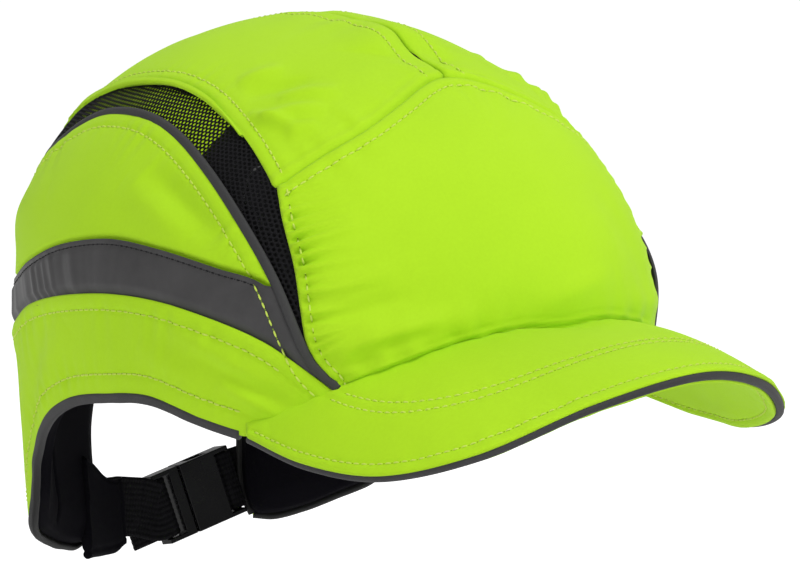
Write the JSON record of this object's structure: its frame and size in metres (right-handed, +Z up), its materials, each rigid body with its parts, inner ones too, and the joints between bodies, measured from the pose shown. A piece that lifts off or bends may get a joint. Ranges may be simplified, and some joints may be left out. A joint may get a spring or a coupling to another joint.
{
  "type": "bump cap",
  "caption": "High-visibility fabric bump cap with inner hard shell, padding, stiffened peak, side mesh vents, ear and rear arches, and a buckled nape strap.",
  "frame": {"origin": "centre of the wearer's head inside the cap, level with the middle of the dome", "axes": "+Z up as worn, -Y forward along the peak, +X to the wearer's left"},
  "size_m": [0.1776, 0.2783, 0.185],
  "materials": {
    "hi_vis_fabric": "fluorescent yellow-green woven polyester, matt with a faint sheen",
    "reflective_tape": "grey retroreflective tape, smooth satin",
    "vent_mesh": "open black knitted mesh",
    "grey_piping": "dark grey reflective cord piping and binding",
    "black_fabric": "black padded polyester",
    "foam": "closed-cell foam, matt",
    "shell_plastic": "moulded black plastic, fine texture",
    "peak_board": "flexible board, hidden in the peak",
    "elastic": "ribbed black elastic webbing",
    "buckle_plastic": "moulded black plastic, semi-gloss"
  },
  "bodies": {
    "cap": {"front_panel": "hi_vis_fabric", "crown_panel_right": "hi_vis_fabric", "crown_panel_left": "hi_vis_fabric", "upper_side_panel_right": "hi_vis_fabric", "upper_side_panel_left": "hi_vis_fabric", "lower_side_panel_right": "hi_vis_fabric", "lower_side_panel_left": "hi_vis_fabric", "reflective_strip_right": "reflective_tape", "reflective_strip_left": "reflective_tape", "vent_mesh_right": "vent_mesh", "vent_mesh_left": "vent_mesh", "vent_piping_right": "grey_piping", "vent_piping_left": "grey_piping", "ear_arch_binding_right": "grey_piping", "ear_arch_binding_left": "grey_piping", "rear_arch_binding": "grey_piping", "crown_seam_tape": "black_fabric", "hard_shell": "shell_plastic", "sweatband": "black_fabric", "front_pad": "foam", "rear_pad": "foam", "side_pad_right": "foam", "side_pad_left": "foam", "crown_pad": "foam", "nape_pad_right": "black_fabric", "nape_pad_left": "black_fabric", "peak_top_cover": "hi_vis_fabric", "peak_board": "peak_board", "peak_under_cover": "hi_vis_fabric", "peak_piping": "grey_piping", "strap_tab": "black_fabric", "strap_elastic": "elastic", "strap_webbing": "elastic", "buckle_socket": "buckle_plastic"},
    "plug": {"buckle_plug": "buckle_plastic"},
    "prong_upper": {"buckle_prong_upper": "buckle_plastic"},
    "prong_lower": {"buckle_prong_lower": "buckle_plastic"},
    "tail": {"strap_tail": "elastic"}
  },
  "joints": [
    {"name": "buckle_release", "type": "slide", "parent": "cap", "child": "plug", "axis": [-0.9744, 0, -0.225], "range_m": [0, 0.013], "deforming": ["strap_elastic", "buckle_prong_upper", "buckle_prong_lower"]},
    {"name": "prong_upper_press", "type": "hinge", "parent": "plug", "child": "prong_upper", "pos_m": [0.00859, 0.09165, -0.07984], "axis": [0.0468, 0.9781, -0.2026], "range_deg": [0, 7], "stiffness_Nm_per_rad": 0.3},
    {"name": "prong_lower_press", "type": "hinge", "parent": "plug", "child": "prong_lower", "pos_m": [0.01145, 0.08895, -0.09223], "axis": [-0.0468, -0.9781, 0.2026], "range_deg": [0, 7], "stiffness_Nm_per_rad": 0.3},
    {"name": "strap_adjust", "type": "slide", "parent": "plug", "child": "tail", "axis": [-0.9744, 0, -0.225], "range_m": [0, 0.006]}
  ]
}
